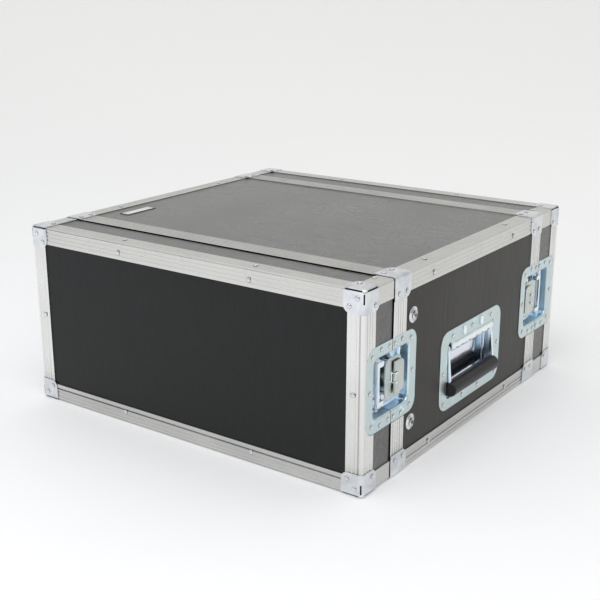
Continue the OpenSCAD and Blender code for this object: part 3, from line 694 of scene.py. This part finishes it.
def hinge_cover():
    """The strip rolled out over the hinge rod, with notches in its lower edge."""
    levels = [(-COVER_HALF, COVER_CURL)]
    for mid in NOTCHES:
        levels += [(mid - NOTCH_HALF - 0.1, COVER_CURL), (mid - NOTCH_HALF, COVER_NOTCHED),
                   (mid + NOTCH_HALF, COVER_NOTCHED), (mid + NOTCH_HALF + 0.1, COVER_CURL)]
    levels.append((COVER_HALF, COVER_CURL))
    return loft([[(FLANGE + out, along, ROD_UP + up) for out, up in COVER_TOP + edge + COVER_UNDER]
                 for along, edge in levels])


def pressed_bump(along, steps=6):
    """A raised oval pressed out of the flange."""
    rings = []
    for i in range(steps + 1):
        t = math.radians(90 * i / steps)
        inset = BUMP_HALF_W * 0.6 * (1 - math.cos(t)) ** 2
        rings.append(rounded_ring(FLANGE - 0.1 + BUMP_HIGH * math.sin(t), BUMP_HALF_W - inset,
                                  BUMP_HALF_H - inset, BUMP_HALF_W - inset,
                                  mid_a=along, mid_b=BUMP_UP, steps=5))
    return loft(rings)


def arm_outline():
    """A strap with an eye round the hinge rod and one at the grip, as (out, up) points."""
    rod, grip = Vector((ROD_OUT, ROD_UP)), Vector((GRIP_OUT, GRIP_UP))
    turn = math.atan2(*(grip - rod).yx)
    points, steps = [], 16
    for centre, start, r in ((rod, turn, ARM_HALF), (grip, turn + math.pi, FOOT_R)):
        neck = math.asin(STRAP_HALF / r)
        for i in range(steps + 1):
            t = start + neck + (2 * math.pi - 2 * neck) * i / steps
            points.append(tuple(centre + r * Vector((math.cos(t), math.sin(t)))))
    return points


def strap(outline, low, high, edge=0.4):
    """A flat plate with softened edges, from an outline of (out, up) points that may curve in."""
    count = len(outline)

    def inset(by):
        ring = []
        for i, p in enumerate(outline):
            before, here, after = (Vector(q) for q in (outline[i - 1], p, outline[(i + 1) % count]))
            along = (here - before).normalized() + (after - here).normalized()
            inward = Vector((-along.y, along.x)).normalized()
            ring.append(here + inward * by)
        return ring

    return loft([[(p.x, height, p.y) for p in inset(by)]
                 for height, by in soft_levels(low, high, edge)])


def coil(turns, mean_r, wire_r, half_l, steps=12):
    """A wire wound evenly about the along axis."""
    points = []
    for i in range(turns * steps + 1):
        t = 2 * math.pi * i / steps
        along = -half_l + 2 * half_l * i / (turns * steps)
        points.append((mean_r * math.cos(t), along, mean_r * math.sin(t)))
    return tube(points, wire_r, 6)


def grip_profile():
    """The rubber grip's (radius, along) points: rounded lips and a slightly full middle."""
    lip = 2.6
    angles = [math.radians(a) for a in range(0, 91, 15)]
    ends = [(GRIP_R - lip + lip * math.sin(a), GRIP_HALF - lip + lip * math.cos(a)) for a in angles]
    middle = [(GRIP_R - 0.10, GRIP_HALF * 0.8), (GRIP_R - 0.14, GRIP_HALF * 0.5), (GRIP_R - 0.05, 0.0)]
    half = [(0.3, GRIP_HALF - 0.1), (3.0, GRIP_HALF - 0.02)] + ends + middle
    return half + [(r, -h) for r, h in half[-2::-1]]


handle_dish = closed_dish(*dish_rings(HANDLE_OUTER, HANDLE_OPENING, HANDLE_FLOOR))

for side_name, side in SIDES.items():
    place = handle_frame(side)
    name = f"handle_{side_name}"
    dish = Build().add(handle_dish, place).add(hinge_cover(), place)
    for along in BUMPS_ALONG:
        dish.add(pressed_bump(along), place)
    dish.piece(f"{name}_pressed_dish", "case_body", "zinc", "zinc_plate", [f"{name}_dish"])

    # The hinge sleeves are black powder coat: painted shade that shows through the hinge cover's
    # notches.
    bail, sleeve = Build(), Build()
    for s in (-1, 1):
        low, high = sorted((s * ARM_IN, s * (ARM_IN + ARM_T)))
        bail.add(strap(arm_outline(), low, high), place)
        low, high = sorted((s * (SPRING_HALF + 0.5), s * (ARM_IN + 0.1)))
        profile = [(0.5, low), (ARM_HALF - 0.4, low), (ARM_HALF, low + 0.4),
                   (ARM_HALF, high), (0.5, high)]
        sleeve.add(moved(lathe(profile, 28, "along"), ROD_OUT, 0, ROD_UP), place)
    bar = [(0.5, -ARM_IN), (BAR_R, -ARM_IN), (BAR_R, ARM_IN), (0.5, ARM_IN)]
    bail.add(moved(lathe(bar, 24, "along"), GRIP_OUT, 0, GRIP_UP), place)
    bail.piece(f"{name}_bail_strap", name, "bright", "zinc_part", [f"{name}_bail"])
    sleeve.piece(f"{name}_hinge_sleeve_painted_shade", name, "coat", "zinc_part")

    spring = Build().add(moved(coil(17, 3.62, 0.48, SPRING_HALF - 0.6), ROD_OUT, 0, ROD_UP), place)
    spring.piece(f"{name}_coil_spring", "case_body", "part", "zinc_part", [f"{name}_spring"])

    grip = moved(lathe(grip_profile(), 40, "along"), GRIP_OUT, 0, GRIP_UP)
    Build().add(grip, place).piece(f"{name}_rubber_grip", name, "rubber", "grip_rubber",
                                   [f"{name}_grip"])

# ---- lid keepers ----------------------------------------------------------

KEEPER_OUT, KEEPER_ALONG = 5.0, -20.0     # from the dish's floor and from the seam
KEEPER_EARS = ((-31.5, -29.9), (29.9, 31.5))
KEEPER_BAR = [(0.4, -33.4), (1.6, -33.4), (2.15, -32.9), (2.15, -31.6), (1.6, -31.0), (1.6, 31.0),
              (2.15, 31.6), (2.15, 32.9), (1.6, 33.4), (0.4, 33.4)]


def keeper_ear(low, high):
    """A rounded tab that stands on the dish's floor and holds the bar."""
    outline = [(out, along) for _, along, out in rounded_ring(0, 3.4, 3.6, 2.4, mid_b=3.6, steps=5)]
    verts, faces = slab(outline, 0, high - low, 0.3)
    return [(LATCH_FLOOR + out, KEEPER_ALONG + along, low + up) for up, out, along in verts], faces


for end_name, end in ENDS.items():
    keepers = Build()
    for side in SIDES.values():
        place = latch_frame(side, end)
        bar = moved(lathe(KEEPER_BAR, 16, "up"), LATCH_FLOOR + KEEPER_OUT, KEEPER_ALONG, 0)
        keepers.add(bar, place)
        for low, high in KEEPER_EARS:
            keepers.add(keeper_ear(low, high), place)
    keepers.piece(f"{end_name}_lid_keeper_bars", f"{end_name}_lid", "part", "zinc_part",
                  [f"{end_name}_lid_keepers"])

# ---- rivets ---------------------------------------------------------------

RIVET_SHAPE = lathe([(3.2, -0.05), (3.2, 0.25), (3.02, 0.5), (2.6, 0.85), (2.0, 1.16),
                     (1.25, 1.4), (0.55, 1.49), (0.05, 1.5)], 16)

# (along, up) from the middle of each dish; a latch's middle is at the seam.
ON_LATCH_BODY = [(6, 45), (22, 46), (42, 42), (47, 0), (42, -42), (22, -46), (6, -45)]
ON_LATCH_LID = [(-6, 45), (-24, 46), (-43, 42), (-47.5, 0), (-43, -42), (-24, -46), (-6, -45)]
ON_HANDLE = [(0, 44), (54, 44), (-54, 44), (76, -1), (-76, -1), (73, -43), (-73, -43),
             (22, -45.5), (-22, -45.5)]

# How far in from the outer faces the rivets sit, and how far along the bars.
IN_BAR, IN_CAP, IN_CAP_TIP, IN_RIM = 14, 20, 9.5, 9.5
ALONG_BODY_BAR, ALONG_LID_BAR = 110, 105
ON_BRACE = (9.5, 27)
AXES = {
    "x": Matrix(((1, 0, 0, 0), (0, 1, 0, 0), (0, 0, 1, 0), (0, 0, 0, 1))),
    "y": Matrix(((0, 1, 0, 0), (-1, 0, 0, 0), (0, 0, 1, 0), (0, 0, 0, 1))),
    "z": Matrix(((0, 0, -1, 0), (0, 1, 0, 0), (1, 0, 0, 0), (0, 0, 0, 1))),
}


def rivet_at(build, axis, x, y, z, side, end):
    """A head facing out along an axis, at a place given for the right side and the front."""
    mirror = Matrix(((side * MM, 0, 0, 0), (0, end * MM, 0, 0),
                     (0, 0, MM, MID_UP * MM), (0, 0, 0, 1)))
    build.add(RIVET_SHAPE, mirror @ Matrix.Translation((x, y, z)) @ AXES[axis])


on_body = Build()
for side in SIDES.values():
    for a, b in ON_HANDLE:
        rivet_at(on_body, "x", FLANGE, a, b + HANDLE_UP - MID_UP, side, 1)
    for sy in (-1, 1):
        y = sy * ALONG_BODY_BAR
        for sz in (-1, 1):
            rivet_at(on_body, "x", BAR_FACE, y, sz * (BAR_UP - IN_BAR), side, 1)
        rivet_at(on_body, "z", BAR_FACE - IN_BAR, y, BAR_UP, side, 1)
    for end in ENDS.values():
        for a, b in ON_LATCH_BODY:
            rivet_at(on_body, "x", FLANGE, a - SEAM, b, side, end)
        for a in ON_BRACE:
            for sz in (-1, 1):
                rivet_at(on_body, "x", CAP_FACE, a - SEAM, sz * (BAR_UP - IN_CAP), side, end)
            rivet_at(on_body, "z", BAR_FACE - IN_CAP, a - SEAM, CAP_UP, side, end)
on_body.piece("body_rivet_heads", "case_body", "nickel", "fastener_nickel", ["body_rivets"])

for end_name, end in ENDS.items():
    on_lid = Build()
    for side in SIDES.values():
        for a, b in ON_LATCH_LID:
            rivet_at(on_lid, "x", FLANGE, a - SEAM, b, side, end)
        for sz in (-1, 1):
            rivet_at(on_lid, "x", CAP_FACE, IN_CAP - BAR_FACE, sz * (BAR_UP - IN_CAP), side, end)
            for d in (IN_CAP_TIP, IN_CAP):
                rivet_at(on_lid, "y", BAR_FACE - d, -CAP_FACE, sz * (BAR_UP - d), side, end)
            rivet_at(on_lid, "y", ALONG_LID_BAR, -BAR_FACE, sz * (BAR_UP - IN_BAR), side, end)
        rivet_at(on_lid, "y", BAR_FACE - IN_BAR, -BAR_FACE, 0, side, end)
        rivet_at(on_lid, "z", BAR_FACE - IN_CAP, IN_CAP - BAR_FACE, CAP_UP, side, end)
        rivet_at(on_lid, "z", BAR_FACE - IN_CAP, -SEAM - LID_GAP - IN_RIM, BAR_UP, side, end)
        rivet_at(on_lid, "z", ALONG_LID_BAR, IN_BAR - BAR_FACE, BAR_UP, side, end)
    on_lid.piece(f"{end_name}_lid_rivet_heads", f"{end_name}_lid", "nickel", "fastener_nickel",
                 [f"{end_name}_lid_rivets"])

# ---- stage ----------------------------------------------------------------


def paper():
    """White paper with painted light: cool and bright in front, duller beside the case and warm behind
    it, with a faint glow of its own.
    """
    # Painted light: the paper glows faintly, which lightens the shadows on it.
    look = Look("paper_white_painted_light", Specular_IOR_Level=0.2, Emission_Color=(1.0, 0.995, 0.985, 1.0),
                Emission_Strength=0.15)
    cloud = look.noise(0.8, detail=2.0)
    # Painted light: tones by distance, brightest in front and duller beside the case.
    far = look.spread(look.place("Y"), 0.0, 0.9, -1.2, 2.0)
    look.colour(look.ramp(look.mix((far, 1.0), (cloud, 0.1)), [
        (0.05, (0.90, 0.905, 0.93)), (0.45, (0.775, 0.78, 0.78)), (0.95, (0.83, 0.825, 0.81))]))
    look.roughness(look.spread(cloud, 0.7, 0.8))
    return look.mat


def sweep_profile():
    """(distance along the view, height) in metres: a flat floor that curves up to a wall."""
    near, flat, radius, height, steps = -14.0, 2.2, 1.6, 5.0, 24
    profile = [(near, 0.0), (-2.0, 0.0), (0.0, 0.0), (flat, 0.0)]
    for i in range(1, steps + 1):
        a = math.radians(90 * i / steps)
        profile.append((flat + radius * math.sin(a), radius * (1 - math.cos(a))))
    return profile + [(flat + radius, height)]


def add_stage():
    view = -Vector((BACK.x, BACK.y, 0)).normalized()
    side = Vector((view.y, -view.x, 0))
    profile, across = sweep_profile(), (-16.0, 0.0, 16.0)
    verts = [view * d + side * s + Vector((0, 0, z)) for d, z in profile for s in across]
    faces = [(a, a + 1, a + 4, a + 3) for i in range(len(profile) - 1) for a in (i * 3, i * 3 + 1)]
    sweep = object_from("studio_sweep", verts, faces)
    sweep.data.materials.append(paper())


def add_area(name, at, target, size, power):
    data = bpy.data.lights.new(name, "AREA")
    data.shape = "RECTANGLE"
    data.size, data.size_y = size
    data.energy = power
    light = bpy.data.objects.new(name, data)
    light.location = at
    light.rotation_euler = (Vector(at) - Vector(target)).to_track_quat("Z", "Y").to_euler()
    bpy.context.scene.collection.objects.link(light)


def add_world():
    """A soft studio dome: greyer low down, white overhead."""
    world = bpy.data.worlds.new("studio")
    bpy.context.scene.world = world
    world.use_nodes = True
    tree = world.node_tree
    background = tree.nodes["Background"]
    split = tree.nodes.new("ShaderNodeSeparateXYZ")
    ramp = tree.nodes.new("ShaderNodeValToRGB")
    tree.links.new(tree.nodes.new("ShaderNodeTexCoord").outputs["Generated"], split.inputs["Vector"])
    tree.links.new(split.outputs["Z"], ramp.inputs["Fac"])
    tree.links.new(ramp.outputs["Color"], background.inputs["Color"])
    low, high = ramp.color_ramp.elements
    low.position, low.color = 0.05, (0.36, 0.37, 0.39, 1.0)
    high.position, high.color = 0.65, (0.985, 0.99, 1.0, 1.0)
    background.inputs["Strength"].default_value = 0.92


add_stage()
add_world()
add_area("key_top", (0.4, -1.2, 2.4), (0.2, -0.6, 0.0), (1.4, 1.4), 17.0)
add_area("front_left", (-1.1, -2.8, 0.7), (0.1, 0, 0.12), (0.9, 0.9), 1.8)
scene = bpy.context.scene
scene.view_settings.view_transform = "Standard"
scene.view_settings.look = "None"
scene.view_settings.exposure = 0.0
scene.view_settings.gamma = 1.0
